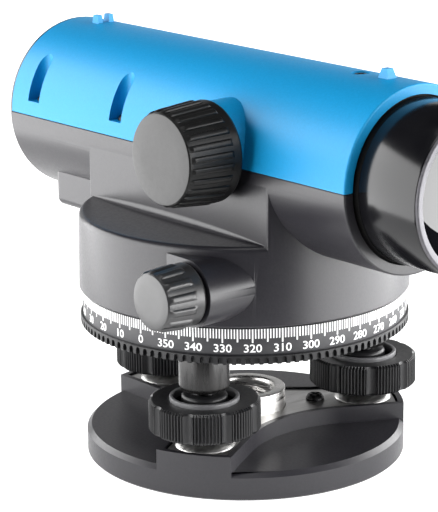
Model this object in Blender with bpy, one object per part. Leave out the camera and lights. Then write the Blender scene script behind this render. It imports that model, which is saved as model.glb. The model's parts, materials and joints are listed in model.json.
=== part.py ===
"""Automatic level: base with three foot screws, horizontal circle, drum, telescope and its inner works.

Sizes below are in millimetres; MM turns them into metres. Z is up, the origin is on the vertical axis at
the underside of the base plate, and the telescope looks along +X. Each moving group hangs on an empty
whose origin lies on the group's axis, and turned pieces are spun round their own Z.
"""

from math import asin, cos, degrees, pi, radians, sin

import bmesh
import bpy
from mathutils import Matrix, Vector

MM = 0.001
GAP = 0.3  # air between two pieces that touch on the real instrument
SMOOTH_ANGLE = 35

# Base and foot screws
BASE_R = 53.0
BASE_FLOOR = 9.0
BASE_TOP = 14.4
BASE_HOLE_R = 17.0
ARM_HALF_WIDTH = 12.5
ARM_FILLET_R = 40.2
ARM_FILLET_CENTRE = 60.8
WALL = 2.2
POCKET_FLOOR = 6.0
FOOT_CIRCLE_R = 40.5
FOOT_ANGLES = {"a": -58.5, "b": 61.5, "c": 181.5}
BALL_R = 3.9
BALL_Z = 6.6
PLATE_LOW = 12.4
PLATE_HIGH = 13.8
BOSS_R = 13.4
BOSS_TOP = 20.4
BOSS_MOUTH_R = 10.1
TRIPOD_THREAD_R = 7.6
KNOB_R = 17.84
KNOB_LOW = 19.4
KNOB_HIGH = 29.8
ROD_R = 4.2
ROD_TOP = 40.8
SLEEVE_R = 8.1
SLEEVE_BORE_R = 5.9
SLEEVE_LOW = 32.6

# Levelling head, horizontal circle and vertical axis
HEAD_R = 47.0
HEAD_LOW = 40.5
HEAD_HIGH = 44.6
COLLAR_R = 31.0
COLLAR_HIGH = 51.5
CIRCLE_R = 53.4
CIRCLE_FLANGE_R = 54.2
CIRCLE_LOW = 45.0
CIRCLE_FLANGE_HIGH = 48.0
CIRCLE_HIGH = 56.5
AXIS_R = 9.0
AXIS_TOP = 73.6
WHEEL_R = 27.5
WHEEL_TEETH = 36

# Housing
DRUM_R = 54.0
DRUM_LOW = 56.9
DRUM_HIGH = 82.3
DRUM_CAVITY_R = 51.0
DRUM_CAVITY_HIGH = 75.4
CHEEK_Y = 28.9
TUBE_Z = 104.6
TUBE_R = 29.4
TUBE_REAR_R = 29.75
TUBE_FRONT_R = 29.05
TUBE_REAR = -91.0
TUBE_FRONT = 79.9
TUBE_BORE_R = 27.0
END_PLATE = 1.6  # the housing closes the rear of the tube up to its full height
FRONT_BORE_R = 25.8
REAR_WALL = 4.0
LUG_REAR = -76.0
LUG_Y = 22.0
LUG_LOW = 72.7
SEAM_HALF_GAP = 0.15
SCREW_X = (-76.8, -30.6)
SCREW_Y = 24.6
WELL_R = 3.2
WELL_FLOOR = 109.6
COLUMN_R = 4.9
TOP_SCREW_X = 55.5

# Drives and optics
TANGENT_X = 33.0
TANGENT_Z = 69.0
TANGENT_BOSS_R = 10.6
TANGENT_BOSS_Y = 49.7
TANGENT_KNOB_Y = 64.3
FOCUS_X = 23.6
FOCUS_Z = 109.3
FOCUS_BOSS_R = 14.8
FOCUS_BOSS_Y = 32.3
FOCUS_KNOB_Y = 52.4
OBJECTIVE_FRONT = 105.3
OBJECTIVE_R = 25.1
EYEPIECE_R = 13.0
EYEPIECE_END = -105.0
PENDULUM_X = -32.0
PENDULUM_Z = 119.0
VIAL_X = -12.0
VIAL_Y = 41.0
MIRROR_HINGE_X = 0.5
MIRROR_HINGE_Z = 93.5
MIRROR_ANGLE = 45.0


def clear_scene():
    for obj in list(bpy.data.objects):
        bpy.data.objects.remove(obj, do_unlink=True)


def finish(name, colour, roughness, metallic=0.0):
    material = bpy.data.materials.new(name)
    material.use_nodes = True
    shader = material.node_tree.nodes["Principled BSDF"]
    shader.inputs["Base Color"].default_value = (*colour, 1.0)
    shader.inputs["Roughness"].default_value = roughness
    shader.inputs["Metallic"].default_value = metallic
    material.diffuse_color = (*colour, 1.0)
    return material


def pivot(name, at=(0, 0, 0), turn=(0, 0, 0)):
    """An empty on a joint's axis, which the moving pieces hang on."""
    empty = bpy.data.objects.new(name, None)
    empty.empty_display_size = 10 * MM
    empty.location = Vector(at) * MM
    empty.rotation_euler = [radians(angle) for angle in turn]
    bpy.context.scene.collection.objects.link(empty)
    return empty


def solid(name, bm, material, at=(0, 0, 0), turn=(0, 0, 0), parent=None):
    """Link a mesh built in millimetres as an object in metres."""
    bmesh.ops.recalc_face_normals(bm, faces=bm.faces)
    mesh = bpy.data.meshes.new(name)
    bm.to_mesh(mesh)
    bm.free()
    mesh.transform(Matrix.Scale(MM, 4))
    mesh.shade_smooth()
    mesh.set_sharp_from_angle(angle=radians(SMOOTH_ANGLE))
    if material:
        mesh.materials.append(material)
    obj = bpy.data.objects.new(name, mesh)
    obj.location = Vector(at) * MM
    obj.rotation_euler = [radians(angle) for angle in turn]
    obj.parent = parent
    bpy.context.scene.collection.objects.link(obj)
    return obj


def turned(profile, segments=24):
    """Spin an outline of (radius, height) points round Z. Flat ends become one face each."""
    bm = bmesh.new()
    points = [bm.verts.new((radius, 0, height)) for radius, height in profile]
    edges = [bm.edges.new(pair) for pair in zip(points, points[1:])]
    if profile[0][0] > 0 or profile[-1][0] > 0:
        edges.append(bm.edges.new((points[-1], points[0])))
    bmesh.ops.spin(
        bm, geom=points + edges, cent=(0, 0, 0), axis=(0, 0, 1), angle=2 * pi, steps=segments, use_merge=True
    )
    bmesh.ops.remove_doubles(bm, verts=bm.verts, dist=1e-4)
    poles = [point for point in bm.verts if point.co.xy.length < 1e-5]
    flat = [pole for pole in poles if all(abs(e.other_vert(pole).co.z - pole.co.z) < 1e-5 for e in pole.link_edges)]
    bmesh.ops.dissolve_verts(bm, verts=flat)
    return bm


def rod(radius, low, high, segments=16):
    return turned([(0, low), (radius, low), (radius, high), (0, high)], segments)


def tube(inner, outer, low, high, segments=24):
    return turned([(inner, low), (outer, low), (outer, high), (inner, high)], segments)


def ball(radius, centre, rings=6, segments=12):
    angles = [pi * step / rings for step in range(1, rings)]
    side = [(radius * sin(a), centre - radius * cos(a)) for a in angles]
    return turned([(0, centre - radius), *side, (0, centre + radius)], segments)


def extruded(outline, low, high):
    bm = bmesh.new()
    face = bm.faces.new([bm.verts.new((x, y, low)) for x, y in outline])
    raised = bmesh.ops.extrude_face_region(bm, geom=[face])["geom"]
    moved = [item for item in raised if isinstance(item, bmesh.types.BMVert)]
    bmesh.ops.translate(bm, vec=(0, 0, high - low), verts=moved)
    return bm


def block(low, high, bevel=0.0):
    """A box between two corners, with its edges bevelled."""
    bm = bmesh.new()
    bmesh.ops.create_cube(bm, size=1.0)
    size = Vector(high) - Vector(low)
    middle = (Vector(high) + Vector(low)) / 2
    bmesh.ops.transform(bm, matrix=Matrix.Translation(middle) @ Matrix.Diagonal((*size, 1)), verts=bm.verts)
    if bevel:
        bmesh.ops.bevel(bm, geom=bm.edges[:], offset=bevel, segments=2, profile=0.5, affect="EDGES")
    return bm


def fluted(bm, beyond, depth, count):
    """Press shallow grooves into the points further than beyond from Z."""
    for point in bm.verts:
        radius = point.co.xy.length
        if radius > beyond:
            angle = Vector((1, 0)).angle_signed(point.co.xy)
            scale = 1 - depth * (0.5 - 0.5 * cos(count * angle)) / radius
            point.co.x *= scale
            point.co.y *= scale
    return bm


def apply_boolean(target, tool, operation):
    """Cut or join with a helper, which stays in the file as a hidden wire object."""
    tool.hide_render = True
    tool.display_type = "WIRE"
    step = target.modifiers.new(tool.name, "BOOLEAN")
    step.operation = operation
    step.object = tool
    step.solver = "EXACT"


def cut(target, *tools):
    for tool in tools:
        apply_boolean(target, tool, "DIFFERENCE")


def join(target, *tools):
    for tool in tools:
        apply_boolean(target, tool, "UNION")


def arc(centre, radius, start, end, steps):
    """Points on an arc, its angles in degrees."""
    angles = [radians(start + (end - start) * step / steps) for step in range(steps + 1)]
    return [(centre[0] + radius * cos(a), centre[1] + radius * sin(a)) for a in angles]


def rotated(points, angle):
    turn = radians(angle)
    return [(x * cos(turn) - y * sin(turn), x * sin(turn) + y * cos(turn)) for x, y in points]


def foot_place(key):
    angle = radians(FOOT_ANGLES[key])
    return FOOT_CIRCLE_R * cos(angle), FOOT_CIRCLE_R * sin(angle)


def sector_angles():
    """Directions halfway between two feet."""
    return [angle + 60 for angle in FOOT_ANGLES.values()]


def hollow_outline():
    """One recessed sector of the base, for a sector that points along +X, run out past the rim."""
    curve = arc((ARM_FILLET_CENTRE, 0), ARM_FILLET_R, 210, 150, 8)
    reach = 60.0
    first, last = curve[0], curve[-1]
    low = (first[0] + reach * cos(radians(60)), first[1] - reach * sin(radians(60)))
    high = (last[0] + reach * cos(radians(60)), last[1] + reach * sin(radians(60)))
    return [low, *curve, high]


def arms_outline(inset):
    """The three arms between the sectors, drawn in by inset all round."""
    half = ARM_HALF_WIDTH - inset
    end_r = BASE_R - inset
    spread = degrees(asin(half / end_r))
    points = []
    for key in FOOT_ANGLES:
        towards = FOOT_ANGLES[key]
        points += arc((0, 0), end_r, towards - spread, towards + spread, 4)
        curve = arc((ARM_FILLET_CENTRE, 0), ARM_FILLET_R + inset, 210, 150, 8)
        points += rotated(curve, towards + 60)
    return points


def build_base(metal, bright, steel):
    rim = [(0, 0), (BASE_R - 0.6, 0), (BASE_R, 0.6), (BASE_R, BASE_TOP - 0.4), (BASE_R - 0.4, BASE_TOP), (0, BASE_TOP)]
    plate = solid("base_plate", turned(rim, 60), metal)
    for index, angle in enumerate(sector_angles()):
        outline = rotated(hollow_outline(), angle)
        cut(plate, solid(f"sector_cutter_{index}", extruded(outline, BASE_FLOOR, BASE_TOP + 5), None))
    cut(plate, solid("pocket_cutter", extruded(arms_outline(WALL), POCKET_FLOOR, BASE_TOP + 5), None))
    cut(plate, solid("base_hole_cutter", rod(BASE_HOLE_R, -5, POCKET_FLOOR + 2, 28), None))
    for key, angle in FOOT_ANGLES.items():
        post_x, post_y = rotated([(24.0, 0)], angle)[0]
        post = rod(3.6, POCKET_FLOOR - 1, PLATE_LOW - GAP, 14)
        join(plate, solid(f"plate_post_{key}", post, None, at=(post_x, post_y, 0)))

    spring = solid("spring_plate", extruded(arms_outline(WALL + 0.6), PLATE_LOW, PLATE_HIGH), bright)
    cut(spring, solid("boss_hole_cutter", rod(BOSS_R + GAP, PLATE_LOW - 2, PLATE_HIGH + 2, 28), None))
    for key, angle in FOOT_ANGLES.items():
        x, y = foot_place(key)
        socket = solid(f"socket_cutter_{key}", ball(BALL_R + GAP, BALL_Z), None, at=(x, y, 0))
        cut(plate, socket)
        dome = turned([(0, 12.9), (9.6, 12.9), (9.6, 13.8), (8.4, 15.1), (5.6, 16.3), (0, 16.3)], 20)
        join(spring, solid(f"spring_dome_{key}", dome, None, at=(x, y, 0)))
        cut(spring, solid(f"neck_hole_cutter_{key}", rod(4.2, PLATE_LOW - 2, PLATE_HIGH + 5, 12), None, at=(x, y, 0)))
        screw_x, screw_y = rotated([(24.0, 0)], angle)[0]
        hole = solid(f"plate_screw_cutter_{key}", rod(1.9, 2.5, BASE_TOP, 10), None, at=(screw_x, screw_y, 0))
        cut(plate, hole)
        cut(spring, hole)
        profile = [(0, 3), (1.5, 3), (1.5, PLATE_HIGH + GAP), (3.0, PLATE_HIGH + GAP)]
        profile += [(2.7, PLATE_HIGH + 1.9), (0, PLATE_HIGH + 1.9)]
        solid(f"spring_plate_screw_{key}", turned(profile, 10), steel, at=(screw_x, screw_y, 0))

    profile = [
        (TRIPOD_THREAD_R, 5.0), (BOSS_R + 2.6, 5.0), (BOSS_R + 2.6, 7.6), (BOSS_R, 7.6),
        (BOSS_R, BOSS_TOP - 0.5), (BOSS_R - 0.5, BOSS_TOP), (BOSS_MOUTH_R, BOSS_TOP),
        (BOSS_MOUTH_R - 0.6, BOSS_TOP - 1.6), (TRIPOD_THREAD_R, BOSS_TOP - 3.6),
    ]
    solid("tripod_boss", turned(profile, 24), bright)


def build_foot_screw(key, plastic, steel):
    x, y = foot_place(key)
    screw = pivot(f"foot_screw_{key}_axis", at=(x, y, BALL_Z))
    low, high = KNOB_LOW - BALL_Z, KNOB_HIGH - BALL_Z
    profile = [
        (ROD_R + GAP, low), (KNOB_R, low), (KNOB_R, high - 1.4), (KNOB_R - 1.2, high - 0.6),
        (11.3, high - 0.6), (10.8, high), (ROD_R + GAP, high),
    ]
    knob = fluted(turned(profile, 36), KNOB_R - 2, 0.6, 6)
    solid(f"foot_knob_{key}", knob, plastic, parent=screw)
    profile = [
        (0, -2.4), (1.6, -2.4), (1.6, 4.2), (2.8, 4.2), (2.8, 9.0), (ROD_R, 10.4),
        (ROD_R, ROD_TOP - BALL_Z), (0, ROD_TOP - BALL_Z),
    ]
    solid(f"foot_spindle_{key}", turned(profile, 14), steel, parent=screw)
    foot = solid(f"foot_ball_{key}", ball(BALL_R, 0), steel, parent=screw)
    cut(foot, solid(f"ball_bore_cutter_{key}", rod(1.95, -3.0, 8, 12), None, parent=screw))


def build_levelling_head(black, steel):
    profile = [(7.3, HEAD_LOW), (37.5, HEAD_LOW), (HEAD_R, HEAD_LOW + 3.3), (HEAD_R, HEAD_HIGH)]
    profile += [(COLLAR_R, HEAD_HIGH), (COLLAR_R, COLLAR_HIGH), (26, COLLAR_HIGH), (26, HEAD_HIGH), (7.3, HEAD_HIGH)]
    head = solid("levelling_head", turned(profile, 36), black)
    for key in FOOT_ANGLES:
        x, y = foot_place(key)
        join(head, solid(f"sleeve_{key}", rod(SLEEVE_R, SLEEVE_LOW, HEAD_HIGH - 0.4, 18), None, at=(x, y, 0)))
    for key in FOOT_ANGLES:
        x, y = foot_place(key)
        bore = rod(SLEEVE_BORE_R, SLEEVE_LOW - 3, HEAD_HIGH - 1.2, 14)
        cut(head, solid(f"sleeve_bore_cutter_{key}", bore, None, at=(x, y, 0)))
    profile = [(0, 42), (7, 42), (7, HEAD_HIGH + GAP), (16, HEAD_HIGH + GAP), (16, 48), (AXIS_R, 48)]
    profile += [(AXIS_R, AXIS_TOP - 1), (AXIS_R - 1, AXIS_TOP), (0, AXIS_TOP)]
    solid("vertical_axis", turned(profile, 20), steel)


def build_circle(black):
    bore = COLLAR_R + GAP
    profile = [
        (bore, CIRCLE_LOW), (CIRCLE_FLANGE_R, CIRCLE_LOW), (CIRCLE_FLANGE_R, CIRCLE_FLANGE_HIGH),
        (CIRCLE_R, CIRCLE_FLANGE_HIGH), (CIRCLE_R, CIRCLE_HIGH), (50.5, CIRCLE_HIGH), (50.5, 48.0),
        (34.5, 48.0), (34.5, 51.0), (bore, 51.0),
    ]
    solid("horizontal_circle", turned(profile, 48), black)


def build_worm_wheel(brass, steel):
    profile = [(AXIS_R + GAP, 65.2), (WHEEL_R, 65.2), (WHEEL_R, 72.8), (AXIS_R + GAP, 72.8)]
    wheel = fluted(turned(profile, WHEEL_TEETH * 2), WHEEL_R - 1, 0.9, WHEEL_TEETH)
    solid("worm_wheel", wheel, brass)
    solid("clutch_spring", tube(AXIS_R + 2.0, AXIS_R + 8.0, 73.1, 74.2, 20), steel)


def along_x(name, bm, material=None):
    """Lay a turned mesh on the telescope's axis, with its height running along +X."""
    return solid(name, bm, material, at=(0, 0, TUBE_Z), turn=(0, 90, 0))


def along_y(name, bm, x, z, material=None):
    """Lay a turned mesh across the instrument, with its height running along -Y."""
    return solid(name, bm, material, at=(x, 0, z), turn=(90, 0, 0))


def tube_solid(name):
    """The telescope's outer shape, whole, before it is split at the seam."""
    profile = [
        (0, TUBE_REAR), (TUBE_REAR_R - 1.2, TUBE_REAR), (TUBE_REAR_R - 0.35, TUBE_REAR + 0.35),
        (TUBE_REAR_R, TUBE_REAR + 1.2), (TUBE_FRONT_R, TUBE_FRONT - 0.5), (TUBE_FRONT_R - 0.5, TUBE_FRONT),
        (0, TUBE_FRONT),
    ]
    return along_x(name, turned(profile, 40))


def tube_cavity(name, low, high):
    """The telescope's inside, less the columns that the cover screws run in."""
    profile = [
        (0, TUBE_REAR + REAR_WALL), (TUBE_BORE_R, TUBE_REAR + REAR_WALL), (TUBE_BORE_R, 60),
        (FRONT_BORE_R, 61.5), (FRONT_BORE_R, TUBE_FRONT + 5), (0, TUBE_FRONT + 5),
    ]
    cavity = along_x(name, turned(profile, 32))
    for index, x in enumerate(SCREW_X):
        for side in (-1, 1):
            column = rod(COLUMN_R, low, high, 12)
            cut(cavity, solid(f"{name}_column_{index}_{side + 1}", column, None, at=(x, side * SCREW_Y, 0)))
    return cavity


def build_housing(grey):
    profile = [(0, DRUM_LOW), (54.0, DRUM_LOW), (54.5, DRUM_LOW + 0.5), (DRUM_R, DRUM_HIGH), (DRUM_R, 103), (0, 103)]
    housing = solid("lower_housing", turned(profile, 60), grey)
    for side in (-1, 1):
        low = min(side * CHEEK_Y, side * 70)
        high = max(side * CHEEK_Y, side * 70)
        cut(housing, solid(f"cheek_cutter_{side + 1}", block((-70, low, DRUM_HIGH), (70, high, 120)), None))
    lug = block((LUG_REAR, -LUG_Y, LUG_LOW), (-40, LUG_Y, 92), 2.0)
    join(housing, tube_solid("housing_tube"), solid("rear_lug", lug, None))
    boss = along_y("tangent_bosses", rod(TANGENT_BOSS_R, -TANGENT_BOSS_Y, TANGENT_BOSS_Y, 20), TANGENT_X, TANGENT_Z)
    focus_boss = along_y("focus_boss_low", rod(FOCUS_BOSS_R, 20, FOCUS_BOSS_Y, 24), FOCUS_X, FOCUS_Z)
    join(housing, boss, focus_boss)
    above = block((TUBE_REAR + END_PLATE, -70, TUBE_Z - SEAM_HALF_GAP), (120, 70, 160))
    cut(housing, solid("above_seam_cutter", above, None))
    cut(housing, solid("drum_cavity", rod(DRUM_CAVITY_R, DRUM_LOW - 5, DRUM_CAVITY_HIGH, 40), None))
    cut(housing, tube_cavity("lower_tube_cavity", TUBE_Z - 8, TUBE_Z + 2))
    cut(housing, along_x("lower_eyepiece_hole", rod(EYEPIECE_R + GAP, TUBE_REAR - 5, TUBE_REAR + 8, 24)))
    cut(housing, along_y("tangent_shaft_hole", rod(2.8, -70, 70, 12), TANGENT_X, TANGENT_Z))
    cut(housing, along_y("focus_shaft_hole_low", rod(3.4, 10, 50, 12), FOCUS_X, FOCUS_Z))
    for index, x in enumerate(SCREW_X):
        for side in (-1, 1):
            hole = rod(1.6, TUBE_Z - 6, TUBE_Z + 5, 8)
            cut(housing, solid(f"lower_screw_hole_{index}_{side + 1}", hole, None, at=(x, side * SCREW_Y, 0)))

    profile = [
        (AXIS_R + GAP, 52.5), (14, 52.5), (14, 58), (DRUM_CAVITY_R - 0.4, 58), (DRUM_CAVITY_R - 0.4, 60.5),
        (14, 60.5), (14, 64.5), (AXIS_R + GAP, 64.5),
    ]
    solid("bearing_plate", turned(profile, 32), grey)


def well_outline(side):
    """A screw well, seen from above: half round towards the axis, and open to the outside."""
    return arc((0, 0), WELL_R, 0, -180 * side, 6) + [(-WELL_R, side * 16), (WELL_R, side * 16)]


def build_cover(blue, steel):
    cover = tube_solid("top_cover")
    cover.data.materials.append(blue)
    join(cover, along_y("focus_boss_high", rod(FOCUS_BOSS_R, 20, FOCUS_BOSS_Y, 24), FOCUS_X, FOCUS_Z))
    crest = TUBE_Z + TUBE_R
    for side in (-1, 1):
        post = block((-77, side * 2.4 - 1.1, crest - 2), (-73.4, side * 2.4 + 1.1, crest + 2.2), 0.4)
        join(cover, solid(f"rear_sight_{side + 1}", post, None))
    sight = block((-2.6, -2.3, -2), (2.6, 2.3, 2.6))
    for point in sight.verts:
        if point.co.z > 0:
            point.co.x *= 0.46
            point.co.y *= 0.5
    join(cover, solid("front_sight", sight, None, at=(67, 0, crest)))
    cut(cover, solid("below_seam_cutter", block((-120, -70, 40), (120, 70, TUBE_Z + SEAM_HALF_GAP)), None))
    cut(cover, solid("end_plate_cutter", block((-120, -70, 80), (TUBE_REAR + END_PLATE + GAP, 70, 160)), None))
    cut(cover, tube_cavity("upper_tube_cavity", TUBE_Z - 2, TUBE_Z + 24))
    cut(cover, along_x("upper_eyepiece_hole", rod(EYEPIECE_R + GAP, TUBE_REAR - 5, TUBE_REAR + 8, 24)))
    cut(cover, along_y("focus_shaft_hole_high", rod(3.4, 10, 50, 12), FOCUS_X, FOCUS_Z))
    for index, x in enumerate(SCREW_X):
        for side in (-1, 1):
            bore = rod(1.6, TUBE_Z - 5, WELL_FLOOR + 1, 12)
            well = extruded(well_outline(side), WELL_FLOOR, TUBE_Z + TUBE_R + 5)
            cut(cover, solid(f"screw_cutter_{index}_{side + 1}", bore, None, at=(x, side * SCREW_Y, 0)))
            cut(cover, solid(f"well_cutter_{index}_{side + 1}", well, None, at=(x, side * SCREW_Y, 0)))
            head = WELL_FLOOR + GAP
            profile = [(0, 99.2), (1.25, 99.2), (1.25, head), (2.5, head), (2.3, head + 1.6), (0, head + 1.6)]
            label = f"cover_screw_{'rear' if index == 0 else 'front'}_{'right' if side < 0 else 'left'}"
            solid(label, turned(profile, 10), steel, at=(x, side * SCREW_Y, 0))
    top = TUBE_Z + TUBE_R
    profile = [(0, top - 8), (1.6, top - 8), (1.6, top - 1.6), (2.9, top - 1.6), (2.9, top + 5), (0, top + 5)]
    cut(cover, solid("top_screw_cutter", turned(profile, 12), None, at=(TOP_SCREW_X, 0, 0)))
    low = top - 1.6 + GAP
    profile = [(0, top - 3.4), (1.25, top - 3.4), (1.25, low), (2.5, low), (2.3, low + 1.0), (0, low + 1.0)]
    solid("cover_screw_top", turned(profile, 10), steel, at=(TOP_SCREW_X, 0, 0))


def build_objective(black, glass):
    profile = [
        (22.6, 62.5), (OBJECTIVE_R, 62.5), (OBJECTIVE_R, OBJECTIVE_FRONT - 0.8),
        (OBJECTIVE_R - 0.8, OBJECTIVE_FRONT), (23.4, OBJECTIVE_FRONT), (22.6, OBJECTIVE_FRONT - 1.0),
    ]
    along_x("objective_tube", turned(profile, 40), black)
    bulge = 1.8
    radius = 22.2
    front = [(radius * sin(radians(a)), 97.2 + bulge * cos(radians(a))) for a in range(90, -1, -30)]
    along_x("objective_lens", turned([(0, 92.5), (radius, 92.5), *front], 28), glass)
    along_x("lens_ring", tube(20.4, 22.3, 99.4, 101.6, 28), black)


def build_focusing(black, brass, steel, glass):
    guide = along_x("guide_tube", tube(12.4, 14.0, -4, 56, 24), black)
    slot = block((-2, -18, TUBE_Z - 4.5), (54, -10, TUBE_Z + 1.5))
    cut(guide, solid("rack_slot_cutter", slot, None))

    carriage = solid("lens_carriage", tube(9.8, 12.0, 14, 34, 24), brass, at=(0, 0, TUBE_Z), turn=(0, 90, 0))
    arm = block((12, -17.0, TUBE_Z - 3.2), (36, -10.8, TUBE_Z - 0.2))
    join(carriage, solid("rack_arm", arm, None))
    profile = [(0, 22.0), (9.4, 23.2), (9.4, 25.4), (0, 26.6)]
    along_x("focusing_lens", turned(profile, 20), glass)

    drive = pivot("focus_axis", at=(FOCUS_X, 0, FOCUS_Z), turn=(90, 0, 0))
    profile = [(0, 14.4), (4.2, 14.4), (4.2, 17.6), (2.9, 17.6), (2.9, 46), (0, 46)]
    shaft = fluted(turned(profile, 36), 4.0, 0.7, 12)
    solid("focus_shaft", shaft, steel, parent=drive)
    back, front = FOCUS_BOSS_Y + 0.5, FOCUS_KNOB_Y
    profile = [
        (0, 46.4), (2.9 + GAP, 46.4), (2.9 + GAP, back), (15.6, back), (16.3, back + 0.8), (16.1, back + 4.0),
        (15.3, front - 1.2), (14.7, front - 0.3), (7.0, front), (0, front),
    ]
    solid("focus_knob", fluted(turned(profile, 36), 15.0, 0.5, 12), black, parent=drive)


def build_compensator(grey, brass, glass):
    frame = block((-52, -17, TUBE_Z - 20), (-12, 17, TUBE_Z + 19), 1.0)
    body = solid("compensator_frame", frame, grey)
    cut(body, solid("frame_window_long", block((-60, -13, TUBE_Z - 16), (-5, 13, TUBE_Z + 15.5)), None))
    cut(body, solid("frame_window_side", block((-47, -25, TUBE_Z - 12), (-17, 25, TUBE_Z + 12)), None))
    prism = [(-10, -9), (10, -9), (0, 9)]
    roof = extruded([(x * 0.5, y) for x, y in prism], -12.7, 12.7)
    solid("roof_prism", roof, glass, at=(-47.2, 0, TUBE_Z), turn=(90, 0, 0))
    solid("damper_magnet", rod(4.5, TUBE_Z - 15.4, TUBE_Z - 13.2, 20), brass, at=(PENDULUM_X, 0, 0))

    swing = pivot("pendulum_axis", at=(PENDULUM_X, 0, PENDULUM_Z))
    drop = TUBE_Z - PENDULUM_Z
    arm = solid("pendulum_arm", block((-6, -8.5, drop - 11.5), (6, 8.5, 0.4), 0.4), brass, parent=swing)
    cut(arm, solid("pendulum_window", block((-9, -6.6, drop - 8), (9, 6.6, drop + 9)), None, parent=swing))
    cut(arm, solid("pendulum_side_window", block((-4.4, -20, drop - 8), (4.4, 20, drop + 9)), None, parent=swing))
    solid("pendulum_prism", block((-3.6, -5.6, drop - 7.4), (3.6, 5.6, drop + 6.5), 0.5), glass, parent=swing)


def build_eyepiece(black, brass, rubber, glass):
    reticle = tube(5.6, 12.5, -66, -62, 24)
    along_x("reticle_ring", reticle, brass)
    along_x("reticle_glass", rod(5.2, -64.8, -63.4, 20), glass)
    profile = [(10.4, -99), (EYEPIECE_R - 0.6, -99), (EYEPIECE_R - 0.6, -90.6), (EYEPIECE_R, -90.0)]
    profile += [(EYEPIECE_R, -75), (10.4, -75)]
    along_x("eyepiece_tube", turned(profile, 24), black)
    along_x("eye_lens_cell", tube(7.2, 10.0, -100.5, -83, 20), brass)
    along_x("eye_lens", turned([(0, -97.4), (6.8, -96.2), (6.8, -93.0), (0, -91.8)], 20), glass)
    profile = [(12.8, -100.2), (15.2, -100.2), (15.6, -99.4), (15.6, -92.4), (15.0, -91.8), (12.8, -91.8)]
    along_x("dioptre_ring", fluted(turned(profile, 24), 14.0, 0.5, 8), black)
    profile = [(10.6, EYEPIECE_END), (12.2, EYEPIECE_END), (14.2, -103.5), (14.2, -100.5), (10.6, -100.5)]
    along_x("eyecup", turned(profile, 24), rubber)


def build_tangent_drive(black, steel):
    drive = pivot("tangent_axis", at=(TANGENT_X, 0, TANGENT_Z), turn=(90, 0, 0))
    worm = []
    for crest in (-4.8, 0, 4.8):
        worm += [(3.6, crest - 1.6), (5.0, crest - 0.5), (5.0, crest + 0.5), (3.6, crest + 1.6)]
    profile = [(0, -58), (2.4, -58), (2.4, -8.5), *worm, (2.4, 8.5), (2.4, 58), (0, 58)]
    solid("worm_shaft", turned(profile, 14), steel, parent=drive)
    back, front = TANGENT_BOSS_Y + 0.5, TANGENT_KNOB_Y
    for label, turn in (("right", 0), ("left", 180)):
        profile = [
            (0, 58.4), (2.4 + GAP, 58.4), (2.4 + GAP, back), (10.0, back), (10.0, back + 2.6),
            (9.5, front - 0.9), (8.7, front), (0, front),
        ]
        knob = fluted(turned(profile, 28), 9.2, 0.5, 7)
        solid(f"tangent_knob_{label}", knob, black, turn=(turn, 0, 0), parent=drive)


def build_vial(black, glass, mirror, steel):
    low = DRUM_HIGH + GAP
    profile = [(0, low), (10.2, low), (10.2, low + 8.0), (9.8, low + 8.4), (0, low + 8.4)]
    holder = solid("vial_holder", turned(profile, 24), black, at=(VIAL_X, VIAL_Y, 0))
    for side in (-1, 1):
        y = VIAL_Y + side * 7.4
        ear = block((-7.0, y - 1.2, low), (MIRROR_HINGE_X + 2.2, y + 1.2, MIRROR_HINGE_Z + 1.3), 0.4)
        join(holder, solid(f"hinge_ear_{side + 1}", ear, None))
    bore = rod(8.6, low + 2.5, low + 20, 24)
    cut(holder, solid("vial_seat_cutter", bore, None, at=(VIAL_X, VIAL_Y, 0)))
    pin_hole = rod(1.0, -(VIAL_Y + 12), -(VIAL_Y - 12), 12)
    cut(holder, along_y("hinge_hole_cutter", pin_hole, MIRROR_HINGE_X, MIRROR_HINGE_Z))
    dome = [(8.2 * sin(radians(a)), low + 6.2 + 1.6 * cos(radians(a))) for a in range(90, -1, -30)]
    solid("vial_glass", turned([(0, low + 2.8), (8.2, low + 2.8), *dome], 20), glass, at=(VIAL_X, VIAL_Y, 0))

    hinge = pivot("mirror_axis", at=(MIRROR_HINGE_X, VIAL_Y, MIRROR_HINGE_Z), turn=(0, MIRROR_ANGLE, 0))
    frame = block((-20.5, -9.6, 1.6), (-2.4, 9.6, 3.8), 0.4)
    lid = solid("mirror_frame", frame, black, parent=hinge)
    join(lid, solid("mirror_knuckle", block((-3.2, -5.7, -1.6), (1.6, 5.7, 2.6), 0.4), None, parent=hinge))
    cut(lid, solid("mirror_recess", block((-19.4, -8.4, 0), (-4.6, 8.4, 2.6)), None, parent=hinge))
    cut(lid, solid("knuckle_hole", rod(1.0, -10, 10, 12), None, turn=(90, 0, 0), parent=hinge))
    solid("vial_mirror", block((-19.1, -8.1, 1.4), (-4.9, 8.1, 2.3)), mirror, parent=hinge)
    solid("mirror_pin", rod(0.7, -9.4, 9.4, 10), steel, turn=(90, 0, 0), parent=hinge)


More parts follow.
